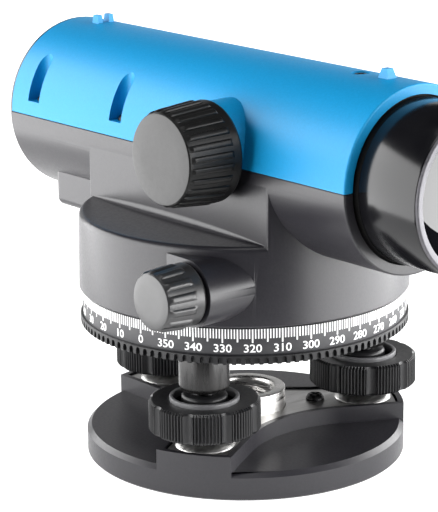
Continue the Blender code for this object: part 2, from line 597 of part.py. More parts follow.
def main():
    clear_scene()
    casting = finish("grey_casting", (0.10, 0.10, 0.105), 0.55)
    blue = finish("blue_cover", (0.02, 0.35, 0.72), 0.5)
    plastic = finish("black_plastic", (0.03, 0.03, 0.032), 0.45)
    black = finish("black_anodised", (0.012, 0.012, 0.013), 0.35)
    rubber = finish("rubber", (0.02, 0.02, 0.02), 0.8)
    bright = finish("bright_plate", (0.72, 0.71, 0.69), 0.3, 1.0)
    steel = finish("steel", (0.45, 0.45, 0.46), 0.3, 1.0)
    brass = finish("brass", (0.65, 0.46, 0.2), 0.35, 1.0)
    glass = finish("glass", (0.75, 0.85, 0.9), 0.05)
    mirror = finish("mirror", (0.9, 0.9, 0.9), 0.03, 1.0)

    build_base(casting, bright, steel)
    for key in FOOT_ANGLES:
        build_foot_screw(key, plastic, steel)
    build_levelling_head(black, steel)
    build_circle(black)
    build_worm_wheel(brass, steel)
    build_housing(casting)
    build_cover(blue, steel)
    build_objective(black, glass)
    build_focusing(plastic, brass, steel, glass)
    build_compensator(casting, brass, glass)
    build_eyepiece(black, brass, rubber, glass)
    build_tangent_drive(plastic, steel)
    build_vial(plastic, glass, mirror, steel)


main()
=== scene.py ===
"""Looks of an automatic level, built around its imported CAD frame.

Sizes are in millimetres on the CAD's axes, and put() turns them into metres: Z is up, the origin is on the
vertical axis under the base, and the telescope looks along +X.
"""

import json
from math import asin, ceil, cos, degrees, pi, radians, sin, sqrt

import bmesh
import bpy
from mathutils import Matrix, Vector


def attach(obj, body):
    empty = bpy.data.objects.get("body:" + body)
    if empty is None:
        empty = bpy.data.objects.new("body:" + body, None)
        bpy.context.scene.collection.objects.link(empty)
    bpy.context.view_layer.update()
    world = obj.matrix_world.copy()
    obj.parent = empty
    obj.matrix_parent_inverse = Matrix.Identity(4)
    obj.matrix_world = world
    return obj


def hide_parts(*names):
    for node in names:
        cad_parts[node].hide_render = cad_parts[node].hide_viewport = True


MM = 0.001

TABLE_R = 200.0
TABLE_FAR = 2600.0
TABLE_FAR_HALF = 1100.0
LIGHT_AIM = (0, 0, 0.07)
CAMERA_AZIMUTH = 50.76
CAMERA_ELEVATION = 15.107
CAMERA_ROLL = -0.626
CAMERA_DISTANCE = 702.0
CAMERA_TARGET = (-5.24, -6.41, 65.30)
CAMERA_LENS = 149.9

BASE_R = 53.0
BASE_FLOOR = 9.0
BASE_TOP = 14.45
ARM_HALF_WIDTH = 12.45
ARM_CURVE_R = 40.2
ARM_CURVE_CENTRE = 60.8
WALL = 1.9
POCKET_FLOOR = 6.0
FOOT_CIRCLE_R = 40.5
FOOT_ANGLES = {"a": -58.5, "b": 61.5, "c": 181.5}
FOOT_KNOB_START = {"a": -50.76, "b": 12.0, "c": 25.0}
PLATE_LOW = 12.4
PLATE_HIGH = 13.8
PLATE_SCREW_CIRCLE_R = 24.0
BOSS_R = 13.4
BOSS_TOP = 20.4
KNOB_R = 17.84
KNOB_LOW = 19.4
KNOB_HIGH = 29.4
KNOB_RING_HIGH = 30.4
SLEEVE_R = 8.1
SLEEVE_LOW = 32.6
SLEEVE_BORE_R = 5.9
HEAD_R = 47.0
HEAD_LOW = 40.5
HEAD_HIGH = 44.6

CIRCLE_R = 53.4
FLANGE_R = 54.2
CIRCLE_LOW = 45.0
FLANGE_HIGH = 48.0
CIRCLE_HIGH = 56.5
DIAL_ZERO_ANGLE = 282.65
FIGURES_LOW = 48.95

DRUM_R = 54.0
DRUM_LOW = 56.9
DRUM_HIGH = 82.3
CHEEK_Y = 28.92
TUBE_Z = 104.6
TUBE_R = 29.4
TUBE_REAR_R = 29.75
TUBE_FRONT_R = 29.05
TUBE_REAR = -91.0
TUBE_FRONT = 79.9
SEAM = 0.15
END_PLATE = 1.6
SCREW_X = (-76.8, -30.6)
SCREW_Y = 24.6
WELL_R = 3.2
WELL_FLOOR = 109.6
TOP_SCREW_X = 55.5
TANGENT_X = 33.0
TANGENT_Z = 69.0
TANGENT_BOSS_R = 10.6
TANGENT_BOSS_Y = 49.7
TANGENT_KNOB_Y = 64.3
FOCUS_X = 23.6
FOCUS_Z = 109.3
FOCUS_BOSS_R = 14.8
FOCUS_BOSS_Y = 32.3
FOCUS_BOSS_SHARE = 0.88
FOCUS_BOSS_SHIFT = -2.0
FOCUS_HOLE_R = 3.4
FOCUS_KNOB_Y = 52.4
OBJECTIVE_FRONT = 105.3
OBJECTIVE_R = 25.1
OBJECTIVE_BULGE = 2.6
OBJECTIVE_GLASS_R = 22.4
EYEPIECE_HOLE_R = 13.3
VIAL_X = -12.0
VIAL_Y = 41.0
VIAL_LOW = 82.6
HINGE_X = 0.5
HINGE_Z = 93.5


# Materials


def shader(name, colour, roughness, metallic=0.0, **sockets):
    """A Principled material and its node tree. Constant values sit on the shader's own sockets."""
    material = bpy.data.materials.new(name)
    material.use_nodes = True
    principled = material.node_tree.nodes["Principled BSDF"]
    principled.inputs["Base Color"].default_value = (*colour, 1.0)
    principled.inputs["Roughness"].default_value = roughness
    principled.inputs["Metallic"].default_value = metallic
    for socket, value in sockets.items():
        principled.inputs[socket.replace("_", " ")].default_value = value
    return material


def add(material, kind, **settings):
    node = material.node_tree.nodes.new(kind)
    for key, value in settings.items():
        if key in node.inputs:
            node.inputs[key].default_value = value
        else:
            setattr(node, key, value)
    return node


def wire(material, source, target):
    material.node_tree.links.new(source, target)


def noise(material, scale, detail=3.0, stretch=(1, 1, 1)):
    """Noise in object space, its scale in features per metre."""
    place = add(material, "ShaderNodeTexCoord")
    mapping = add(material, "ShaderNodeMapping")
    mapping.inputs["Scale"].default_value = stretch
    texture = add(material, "ShaderNodeTexNoise")
    texture.inputs["Scale"].default_value = scale
    texture.inputs["Detail"].default_value = detail
    texture.inputs["Roughness"].default_value = 0.55
    wire(material, place.outputs["Object"], mapping.inputs["Vector"])
    wire(material, mapping.outputs["Vector"], texture.inputs["Vector"])
    return texture.outputs["Fac"]


def ramp(material, source, low, high, start=0.35, end=0.65):
    node = add(material, "ShaderNodeValToRGB")
    node.color_ramp.elements[0].position = start
    node.color_ramp.elements[1].position = end
    node.color_ramp.elements[0].color = (*low, 1.0) if isinstance(low, tuple) else (low, low, low, 1.0)
    node.color_ramp.elements[1].color = (*high, 1.0) if isinstance(high, tuple) else (high, high, high, 1.0)
    wire(material, source, node.inputs["Fac"])
    return node.outputs["Color"]


def principled_of(material):
    return material.node_tree.nodes["Principled BSDF"]


def grained(material, scale, strength, distance, stretch=(1, 1, 1), detail=3.0):
    """Fine relief on the surface. distance is in metres."""
    bump = add(material, "ShaderNodeBump")
    bump.inputs["Strength"].default_value = strength
    bump.inputs["Distance"].default_value = distance
    wire(material, noise(material, scale, detail, stretch), bump.inputs["Height"])
    wire(material, bump.outputs["Normal"], principled_of(material).inputs["Normal"])


def varied(material, socket, scale, low, high, stretch=(1, 1, 1), start=0.35, end=0.65):
    """Let a socket wander between two values or colours."""
    colour = ramp(material, noise(material, scale, 4.0, stretch), low, high, start, end)
    wire(material, colour, principled_of(material).inputs[socket])


def powder_coat(name, low, high, roughness, **sockets):
    material = shader(name, low, roughness, **sockets)
    varied(material, "Base Color", 1500, low, high, start=0.3, end=0.7)
    varied(material, "Roughness", 1100, roughness - 0.03, roughness + 0.04)
    grained(material, 2600, 0.25, 0.00004)
    return material


def moulded(name, low, high, roughness, grain=0.2, spread=0.04, **sockets):
    material = shader(name, low, roughness, **sockets)
    varied(material, "Base Color", 120, low, high)
    varied(material, "Roughness", 900, roughness - spread, roughness + spread)
    grained(material, 3500, grain, 0.00004)
    return material


def machined(name, low, high, roughness, stretch, metallic=1.0, scale=900):
    """Bright metal with tool marks, stretched along them."""
    material = shader(name, low, roughness, metallic)
    varied(material, "Base Color", scale, low, high, stretch)
    varied(material, "Roughness", scale, roughness - 0.06, roughness + 0.12, stretch)
    grained(material, scale * 2, 0.25, 0.00003, stretch)
    return material


def clear(name, colour, roughness, ior, transmission=1.0, **sockets):
    """Glass with faint polishing haze."""
    material = shader(name, colour, roughness, 0.0, IOR=ior, Transmission_Weight=transmission, **sockets)
    varied(material, "Roughness", 400, 0.8 * roughness, 1.2 * roughness)
    return material


def silvered(name, low, high, roughness):
    material = shader(name, low, roughness, 1.0)
    varied(material, "Base Color", 300, low, high)
    varied(material, "Roughness", 500, 0.7 * roughness, 1.4 * roughness)
    return material


def make_materials():
    return {
        "casting": powder_coat("grey_powder_coat", (0.013, 0.0125, 0.016), (0.019, 0.018, 0.022), 0.33),
        "base": powder_coat("base_powder_coat", (0.013, 0.0125, 0.016), (0.019, 0.018, 0.022), 0.35),
        "blue": powder_coat("blue_cover_moulding", (0.001, 0.222, 0.465), (0.003, 0.247, 0.52), 0.42,
                            Specular_IOR_Level=0.27),
        "knob": moulded("black_knob_plastic", (0.006, 0.006, 0.006), (0.010, 0.010, 0.010), 0.36,
                        Specular_IOR_Level=0.2),
        "knob_face": moulded("black_knob_face", (0.006, 0.006, 0.006), (0.010, 0.010, 0.010), 0.38,
                             Specular_IOR_Level=0.4),
        # Painted light: the tangent knobs' plastic is a lighter copy of the black knob plastic, standing in for
        # the extra light their faces catch
        "small_knob": moulded("small_knob_plastic_painted_light", (0.018, 0.018, 0.019), (0.026, 0.026, 0.027), 0.33,
                              Specular_IOR_Level=0.6),
        "foot_knob": moulded("foot_knob_plastic", (0.007, 0.007, 0.008), (0.012, 0.012, 0.013), 0.36,
                             Specular_IOR_Level=0.35),
        "foot_ring": moulded("foot_knob_ring", (0.10, 0.10, 0.105), (0.14, 0.14, 0.145), 0.38, 0.1),
        "dial": moulded("dark_dial_finish", (0.016, 0.016, 0.019), (0.024, 0.024, 0.027), 0.42),
        "paint": moulded("white_dial_paint", (0.80, 0.80, 0.80), (0.88, 0.88, 0.88), 0.5, 0.05),
        "black": moulded("black_anodised_metal", (0.003, 0.003, 0.004), (0.005, 0.005, 0.006), 0.17, 0.02, 0.01,
                         Specular_IOR_Level=0.42),
        # Painted shade: a matt, near-black finish for the ring at the barrel's root, standing in for the shade
        # that falls there
        "root_shade_black": moulded("seat_painted_shade", (0.002, 0.002, 0.002), (0.004, 0.004, 0.004), 0.6, 0.1,
                              Specular_IOR_Level=0.1),
        "edge": machined("turned_rim_edge", (0.09, 0.088, 0.098), (0.12, 0.117, 0.128), 0.38, (1, 1, 1), 0.4),
        "sleeve": machined("burnished_sleeve", (0.010, 0.010, 0.010), (0.018, 0.017, 0.017), 0.26,
                           (1, 1, 0.1), 0.3),
        "plate": machined("bright_spring_plate", (0.46, 0.455, 0.45), (0.60, 0.595, 0.58), 0.34, (1, 0.12, 1)),
        "boss": machined("turned_boss_metal", (0.50, 0.49, 0.48), (0.66, 0.65, 0.63), 0.28, (0.1, 0.1, 1)),
        "steel": machined("plain_steel", (0.32, 0.32, 0.33), (0.45, 0.45, 0.46), 0.32, (1, 1, 0.2)),
        "dark_steel": machined("blackened_steel", (0.02, 0.02, 0.021), (0.045, 0.045, 0.046), 0.38,
                               (1, 1, 0.2)),
        "brass": machined("turned_brass", (0.55, 0.38, 0.15), (0.70, 0.50, 0.22), 0.3, (0.2, 1, 1)),
        "rubber": moulded("soft_black_rubber", (0.012, 0.012, 0.012), (0.02, 0.02, 0.02), 0.75, 0.5),
        "lens": clear("coated_objective_glass", (0.003, 0.003, 0.004), 0.02, 1.66, 0.0),
        "clear": clear("clear_glass", (0.96, 0.98, 0.98), 0.01, 1.5),
        "vial": clear("vial_glass_with_liquid", (0.80, 0.93, 0.60), 0.03, 1.45, 0.6),
        "mirror": silvered("silvered_mirror", (0.90, 0.90, 0.90), (0.93, 0.93, 0.93), 0.03),
        "joint_line": moulded("dark_joint_line", (0.009, 0.009, 0.011), (0.012, 0.012, 0.014), 0.7),
    }


# Mesh building, in millimetres


def softened(profile, radius, steps=3):
    """Round the corners of a closed or open outline by up to radius."""
    closed = profile[0][0] > 0 or profile[-1][0] > 0
    count = len(profile)
    out = []
    for index, (x, y) in enumerate(profile):
        if x <= 1e-6 or (not closed and index in (0, count - 1)):
            out.append((x, y))
            continue
        before, after = profile[index - 1], profile[(index + 1) % count]
        to_before = Vector((before[0] - x, before[1] - y))
        to_after = Vector((after[0] - x, after[1] - y))
        turn = to_before.angle(to_after, pi)
        reach = min(radius, 0.42 * to_before.length, 0.42 * to_after.length)
        if turn > radians(165) or reach < 0.02:
            out.append((x, y))
            continue
        start = Vector((x, y)) + to_before.normalized() * reach
        end = Vector((x, y)) + to_after.normalized() * reach
        for step in range(steps + 1):
            t = step / steps
            point = start * (1 - t) ** 2 + Vector((x, y)) * 2 * t * (1 - t) + end * t * t
            out.append((point.x, point.y))
    return out


def turned(profile, segments=96, soft=0.0, shape=None):
    """Spin a (radius, height) outline round Z. shape(angle, radius, height) may change a point's radius."""
    if soft:
        profile = softened(profile, soft)
    closed = profile[0][0] > 0 or profile[-1][0] > 0
    bm = bmesh.new()
    columns = []
    poles = {}
    for step in range(segments):
        angle = 2 * pi * step / segments
        column = []
        for index, (radius, height) in enumerate(profile):
            if radius <= 1e-6:
                if index not in poles:
                    poles[index] = bm.verts.new((0, 0, height))
                column.append(poles[index])
                continue
            reach = shape(angle, radius, height) if shape else radius
            column.append(bm.verts.new((reach * cos(angle), reach * sin(angle), height)))
        columns.append(column)
    count = len(profile)
    spans = [(index, index + 1) for index in range(count - 1)] + ([(count - 1, 0)] if closed else [])
    for step in range(segments):
        here, there = columns[step], columns[(step + 1) % segments]
        for low, high in spans:
            ring = []
            for point in (here[low], there[low], there[high], here[high]):
                if point not in ring:
                    ring.append(point)
            if len(ring) > 2:
                bm.faces.new(ring)
    bmesh.ops.recalc_face_normals(bm, faces=bm.faces)
    return bm


def extruded(outline, low, high):
    bm = bmesh.new()
    lower = [bm.verts.new((x, y, low)) for x, y in outline]
    upper = [bm.verts.new((x, y, high)) for x, y in outline]
    bm.faces.new(lower[::-1])
    bm.faces.new(upper)
    for index in range(len(outline)):
        after = (index + 1) % len(outline)
        bm.faces.new((lower[index], lower[after], upper[after], upper[index]))
    bmesh.ops.recalc_face_normals(bm, faces=bm.faces)
    return bm


def block(low, high, bevel=0.0, steps=3):
    bm = bmesh.new()
    bmesh.ops.create_cube(bm, size=1.0)
    size = Vector(high) - Vector(low)
    middle = (Vector(high) + Vector(low)) / 2
    bmesh.ops.transform(bm, matrix=Matrix.Translation(middle) @ Matrix.Diagonal((*size, 1)), verts=bm.verts)
    if bevel:
        bmesh.ops.bevel(bm, geom=bm.edges[:], offset=bevel, segments=steps, profile=0.5, affect="EDGES")
    return bm


def placed(bm, matrix):
    bmesh.ops.transform(bm, matrix=matrix, verts=bm.verts)
    if matrix.determinant() < 0:
        bmesh.ops.reverse_faces(bm, faces=bm.faces)
    return bm


def along_x(bm, x=0.0, y=0.0, z=TUBE_Z):
    """Turn a mesh so that its Z runs along +X, and put it on the telescope's axis."""
    return placed(bm, Matrix.Translation((x, y, z)) @ Matrix.Rotation(pi / 2, 4, "Y"))


def along_y(bm, x, z, side=-1):
    """Turn a mesh so that its Z runs along -Y, or along +Y for side 1."""
    return placed(bm, Matrix.Translation((x, 0, z)) @ Matrix.Rotation(-side * pi / 2, 4, "X"))


def merged(*parts):
    """Several meshes as one."""
    whole = parts[0]
    for part in parts[1:]:
        lump = bpy.data.meshes.new("lump")
        part.to_mesh(lump)
        part.free()
        whole.from_mesh(lump)
        bpy.data.meshes.remove(lump)
    return whole


def as_object(bm, name="tool"):
    mesh = bpy.data.meshes.new(name)
    bm.to_mesh(mesh)
    bm.free()
    obj = bpy.data.objects.new(name, mesh)
    bpy.context.scene.collection.objects.link(obj)
    return obj


def carved(bm, steps):
    """Apply Booleans in turn. steps holds (operation, mesh) pairs; the result is a new mesh."""
    obj = as_object(bm, "carving")
    for operation, tool_mesh in steps:
        tool = as_object(tool_mesh)
        modifier = obj.modifiers.new("carve", "BOOLEAN")
        modifier.operation = operation
        modifier.object = tool
        modifier.solver = "EXACT"
        graph = bpy.context.evaluated_depsgraph_get()
        done = bpy.data.meshes.new_from_object(obj.evaluated_get(graph))
        obj.modifiers.clear()
        obj.data = done
        bpy.data.objects.remove(tool)
    out = bmesh.new()
    out.from_mesh(obj.data)
    bpy.data.objects.remove(obj)
    bmesh.ops.remove_doubles(out, verts=out.verts, dist=0.002)
    bmesh.ops.dissolve_degenerate(out, edges=out.edges, dist=0.002)
    return out


def put(name, bm, material, body, replaces=(), bevel=0.0, angle=32, bevel_steps=3):
    """Make a piece in metres that rides on a body."""
    placed(bm, Matrix.Scale(MM, 4))
    obj = as_object(bm, name)
    mesh = obj.data
    mesh.validate()
    mesh.shade_smooth()
    if bevel:
        modifier = obj.modifiers.new("edges", "BEVEL")
        modifier.width = bevel * MM
        modifier.segments = bevel_steps
        modifier.limit_method = "ANGLE"
        modifier.angle_limit = radians(angle)
        modifier.harden_normals = True
        modifier.miter_outer = "MITER_ARC"
        modifier = obj.modifiers.new("normals", "WEIGHTED_NORMAL")
        modifier.keep_sharp = True
        modifier.weight = 100
    else:
        mesh.set_sharp_from_angle(angle=radians(angle))
    mesh.materials.append(MATERIALS[material])
    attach(obj, body)
    if replaces:
        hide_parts(*replaces)
    return obj


# Outlines


def arc(centre, radius, start, end, steps):
    angles = [radians(start + (end - start) * step / steps) for step in range(steps + 1)]
    return [(centre[0] + radius * cos(a), centre[1] + radius * sin(a)) for a in angles]


def rotated(points, angle):
    turn = radians(angle)
    return [(x * cos(turn) - y * sin(turn), x * sin(turn) + y * cos(turn)) for x, y in points]


def sector_outline():
    """One recessed sector of the base, pointing along +X and run out past the rim."""
    curve = arc((ARM_CURVE_CENTRE, 0), ARM_CURVE_R, 210, 150, 40)
    reach = 60.0
    low = (curve[0][0] + reach * cos(radians(60)), curve[0][1] - reach * sin(radians(60)))
    high = (curve[-1][0] + reach * cos(radians(60)), curve[-1][1] + reach * sin(radians(60)))
    return [low, *curve, high]


def arms_outline(inset):
    """The three arms between the sectors, drawn in by inset."""
    end_r = BASE_R - inset
    spread = degrees(asin((ARM_HALF_WIDTH - inset) / end_r))
    points = []
    for towards in FOOT_ANGLES.values():
        points += arc((0, 0), end_r, towards - spread, towards + spread, 12)
        curve = arc((ARM_CURVE_CENTRE, 0), ARM_CURVE_R + inset, 210, 150, 40)
        points += rotated(curve, towards + 60)
    return points


def foot_place(key):
    angle = radians(FOOT_ANGLES[key])
    return FOOT_CIRCLE_R * cos(angle), FOOT_CIRCLE_R * sin(angle)


# Pieces


def thread(minor, major, low, high, pitch, segments=72):
    """A right-hand internal thread: a tube wall whose inner radius follows a V groove round a helix."""
    bm = bmesh.new()
    rows = ceil((high - low) / pitch * 10)
    grid = []
    for row in range(rows + 1):
        height = low + (high - low) * row / rows
        ring = []
        for step in range(segments):
            angle = 2 * pi * step / segments
            phase = (height / pitch - angle / (2 * pi)) % 1.0
            groove = min(1.0, 2.4 * min(phase, 1 - phase))
            radius = major - (major - minor) * groove
            ring.append(bm.verts.new((radius * cos(angle), radius * sin(angle), height)))
        grid.append(ring)
    around = [2 * pi * step / segments for step in range(segments)]
    wall = 1.08 * major
    outer = [[bm.verts.new((wall * cos(a), wall * sin(a), z)) for a in around] for z in (low, high)]
    stack = [outer[0], *grid, outer[1]]
    for lower, upper in zip(stack, stack[1:] + stack[:1]):
        for step in range(segments):
            after = (step + 1) % segments
            bm.faces.new((lower[step], upper[step], upper[after], lower[after]))
    bmesh.ops.recalc_face_normals(bm, faces=bm.faces)
    return bm


def screw_head(x, y, low, radius, height):
    """A pan head with a cross recess, standing on low."""
    profile = [(0, 0), (radius, 0), (radius, 0.35 * height), (0.72 * radius, height), (0, 1.06 * height)]
    head = turned(profile, 32, 0.3)
    deep, above = 0.45 * height, 3 * height
    reach, half = 0.62 * radius, 0.14 * radius
    cross = [
        ("DIFFERENCE", block((-reach, -half, deep), (reach, half, above))),
        ("DIFFERENCE", block((-half, -reach, deep), (half, reach, above))),
    ]
    return placed(carved(head, cross), Matrix.Translation((x, y, low)))


def build_base():
    rim = [(0, 0), (BASE_R - 0.5, 0), (BASE_R, 0.5), (BASE_R, BASE_TOP), (0, BASE_TOP)]
    steps = []
    for towards in FOOT_ANGLES.values():
        outline = rotated(sector_outline(), towards + 60)
        chamfer = [(BASE_R - 1.5, BASE_FLOOR + 0.02), (BASE_R + 0.6, BASE_FLOOR - 2.08),
                   (BASE_R + 0.6, BASE_FLOOR + 0.02)]
        border = extruded(outline, BASE_FLOOR - 4, BASE_FLOOR + 0.01)
        edge = carved(turned(chamfer, 192), [("INTERSECT", border)])
        steps.append(("DIFFERENCE", edge))
        steps.append(("DIFFERENCE", extruded(outline, BASE_FLOOR, BASE_TOP + 5)))
    steps.append(("DIFFERENCE", extruded(arms_outline(WALL), POCKET_FLOOR, BASE_TOP + 5)))
    hole = [(0, -5), (17.0, -5), (17.0, POCKET_FLOOR + 2), (0, POCKET_FLOOR + 2)]
    steps.append(("DIFFERENCE", turned(hole, 96)))
    for key, towards in FOOT_ANGLES.items():
        x, y = rotated([(PLATE_SCREW_CIRCLE_R, 0)], towards)[0]
        post = cylinder(3.6, POCKET_FLOOR - 1, PLATE_LOW - 0.05, 32)
        steps.append(("UNION", placed(post, Matrix.Translation((x, y, 0)))))
    base = carved(turned(rim, 192), steps)
    put("base_casting", base, "base", "base", ["base_plate"], bevel=0.8)

    plate = extruded(arms_outline(WALL + 0.6), PLATE_LOW, PLATE_HIGH)
    holes = [("DIFFERENCE", cylinder(BOSS_R + 0.2, PLATE_LOW - 2, PLATE_HIGH + 2, 96))]
    for key in FOOT_ANGLES:
        x, y = foot_place(key)
        profile = [(0, 12.9), (9.6, 12.9), (9.6, PLATE_HIGH), (9.3, 14.3), (8.2, 15.2), (6.9, 15.9),
                   (5.6, 16.3), (0, 16.3)]
        dome = turned(profile, 64)
        holes.append(("UNION", placed(dome, Matrix.Translation((x, y, 0)))))
        neck = cylinder(4.2, PLATE_LOW - 2, PLATE_HIGH + 5, 40)
        holes.append(("DIFFERENCE", placed(neck, Matrix.Translation((x, y, 0)))))
    leaf = carved(plate, holes)
    put("spring_plate_leaf", leaf, "plate", "base", ["spring_plate"], bevel=0.25)

    for key, towards in FOOT_ANGLES.items():
        x, y = rotated([(PLATE_SCREW_CIRCLE_R, 0)], towards)[0]
        head = screw_head(x, y, PLATE_HIGH + 0.05, 3.1, 1.9)
        shank = turned([(0, 3), (1.5, 3), (1.5, PLATE_HIGH + 0.1), (0, PLATE_HIGH + 0.1)], 24)
        whole = merged(head, placed(shank, Matrix.Translation((x, y, 0))))
        put(f"plate_screw_{key}", whole, "dark_steel", "base", [f"spring_plate_screw_{key}"])

    profile = [
        (8.3, 5.0), (BOSS_R + 2.6, 5.0), (BOSS_R + 2.6, 7.6), (BOSS_R, 7.6), (BOSS_R, BOSS_TOP),
        (10.1, BOSS_TOP), (9.6, BOSS_TOP - 1.4), (8.6, BOSS_TOP - 2.2), (8.3, BOSS_TOP - 2.2),
    ]
    boss = merged(turned(profile, 128, 0.5), thread(7.2, 8.2, 5.2, BOSS_TOP - 2.3, 2.31))
    put("tripod_thread_boss", boss, "boss", "base", ["tripod_boss"])


def foot_knob_radius(angle, radius, height):
    """Nine groups of eight ribs, with a smooth scallop between groups."""
    if radius < KNOB_R - 1.6:
        return radius
    place = degrees(angle) % 40.0
    full = min(1.0, (radius - (KNOB_R - 1.6)) / 1.5)
    if place < 28.8:
        rib = (place / 3.6) % 1.0
        return radius - full * 0.75 * max(0.0, 1 - 2.8 * min(rib, 1 - rib))
    across = (place - 28.8) / 11.2 * 2 - 1
    return radius - full * 0.95 * (1 - across * across)


def build_foot_screw(key):
    x, y = foot_place(key)
    body = f"foot_screw_{key}"
    profile = [
        (4.6, KNOB_LOW + 1.0), (12.0, KNOB_LOW + 1.0), (12.6, KNOB_LOW), (KNOB_R - 0.7, KNOB_LOW),
        (KNOB_R, KNOB_LOW + 0.7), (KNOB_R, KNOB_LOW + 3.5), (KNOB_R, KNOB_HIGH - 3.5),
        (KNOB_R, KNOB_HIGH - 0.7), (KNOB_R - 0.8, KNOB_HIGH), (KNOB_R - 1.7, KNOB_HIGH),
        (11.6, KNOB_HIGH - 0.35), (11.2, KNOB_HIGH - 0.7), (10.0, KNOB_HIGH - 0.7), (9.6, 25.5), (4.6, 25.5),
    ]
    start = radians(FOOT_KNOB_START[key])
    wheel = turned(profile, 600, 0.0, lambda a, r, h: foot_knob_radius(a - start, r, h))
    put(f"foot_knob_{key}_grip", placed(wheel, Matrix.Translation((x, y, 0))), "foot_knob", body,
        [f"foot_knob_{key}"], angle=24)

    ring = turned([(9.9, 26.0), (11.15, 26.0), (11.15, KNOB_RING_HIGH), (9.9, KNOB_RING_HIGH)], 96, 0.5)
    put(f"foot_knob_{key}_ring", placed(ring, Matrix.Translation((x, y, 0))), "foot_ring", body)

    profile = [
        (4.3, 25.5), (8.6, 25.5), (8.6, 27.2), (7.4, 28.0), (7.4, 30.2), (6.8, 31.0), (5.0, 31.2), (4.3, 31.2),
    ]
    collar = turned(profile, 96, 0.3)
    put(f"foot_collar_{key}", placed(collar, Matrix.Translation((x, y, 0))), "foot_knob", body)

    def threaded(angle, radius, height):
        if height < 17.2 or radius < 4.1:
            return radius
        return radius - 0.25 * (0.5 + 0.5 * cos(2 * pi * height - angle))

    neck = [(0, 4.2), (1.6, 4.2), (1.6, 10.8), (2.8, 10.8), (2.8, 15.6), (4.2, 17.0)]
    shaft = [(4.2, 17.0 + 0.2 * step) for step in range(1, 119)]
    spindle = placed(turned([*neck, *shaft, (0, 40.8)], 40, 0.0, threaded), Matrix.Translation((x, y, 0)))
    put(f"foot_screw_{key}_spindle", spindle, "dark_steel", body, [f"foot_spindle_{key}"])
    carry = "tilt_ball" if key == "a" else body
    angles = [pi * step / 20 for step in range(1, 20)]
    side = [(3.9 * sin(a), 6.6 - 3.9 * cos(a)) for a in angles if 3.9 * sin(a) > 1.95]
    foot = turned([(1.95, side[0][1]), *side, (1.95, side[-1][1])], 40)
    put(f"foot_{key}_ball", placed(foot, Matrix.Translation((x, y, 0))), "steel", carry,
        [f"foot_ball_{key}"])


def build_head():
    profile = [
        (7.3, HEAD_LOW), (37.5, HEAD_LOW), (HEAD_R, HEAD_LOW + 3.3), (HEAD_R, HEAD_HIGH), (31.0, HEAD_HIGH),
        (31.0, 51.5), (26.0, 51.5), (26.0, HEAD_HIGH), (7.3, HEAD_HIGH),
    ]
    bores = []
    for key in FOOT_ANGLES:
        x, y = foot_place(key)
        bore = cylinder(SLEEVE_BORE_R, HEAD_LOW - 1, HEAD_HIGH - 1.2, 48)
        bores.append(("DIFFERENCE", placed(bore, Matrix.Translation((x, y, 0)))))
    head = carved(turned(profile, 160, 0.5), bores)
    put("head_plate", head, "dial", "head", ["levelling_head"])
    for key in FOOT_ANGLES:
        x, y = foot_place(key)
        profile = [
            (SLEEVE_BORE_R, SLEEVE_LOW + 0.6), (6.4, SLEEVE_LOW), (SLEEVE_R - 0.9, SLEEVE_LOW),
            (SLEEVE_R, SLEEVE_LOW + 1.2), (SLEEVE_R, 44.2), (SLEEVE_BORE_R, 44.2),
        ]
        sleeve = placed(turned(profile, 96, 0.4), Matrix.Translation((x, y, 0)))
        put(f"sleeve_{key}", sleeve, "sleeve", "head")


def slotted_flange():
    """The circle's notched grip: round-topped slots all round the flange."""
    half = 0.78
    depth = 1.3
    low, high = CIRCLE_LOW, FLANGE_HIGH
    top_low = high - 1.35
    across = [-1.5, -1.05, -half - 0.06, -half, -0.6, -0.36, 0.0, 0.36, 0.6, half, half + 0.06, 1.05]
    bm = bmesh.new()
    columns = []
    for notch in range(120):
        for offset in across:
            angle = radians(notch * 3.0 + offset)
            inside = abs(offset) <= half + 1e-6
            crown = top_low + 0.8 * sqrt(max(0.0, 1 - (offset / half) ** 2)) if inside else top_low
            inner = FLANGE_R - depth if inside else FLANGE_R
            points = [
                (FLANGE_R - 2.4, low), (inner - (0 if inside else 0.35), low), (inner, low + 0.35),
                (inner, crown), (FLANGE_R, crown + 0.06), (FLANGE_R, high - 0.25), (FLANGE_R - 0.25, high),
                (FLANGE_R - 2.4, high),
            ]
            columns.append([bm.verts.new((r * cos(angle), r * sin(angle), z)) for r, z in points])
    for here, there in zip(columns, columns[1:] + columns[:1]):
        for index in range(len(here)):
            after = (index + 1) % len(here)
            bm.faces.new((here[index], there[index], there[after], here[after]))
    bmesh.ops.recalc_face_normals(bm, faces=bm.faces)
    return bm


def wrapped(flat, radius, angle, height):
    """Wrap a flat mesh, X across and Y up, round the Z axis at an angle in degrees."""
    for point in flat.verts:
        turn = radians(angle) + point.co.x / radius
        out = radius + point.co.z
        point.co = Vector((out * cos(turn), out * sin(turn), height + point.co.y))
    return flat


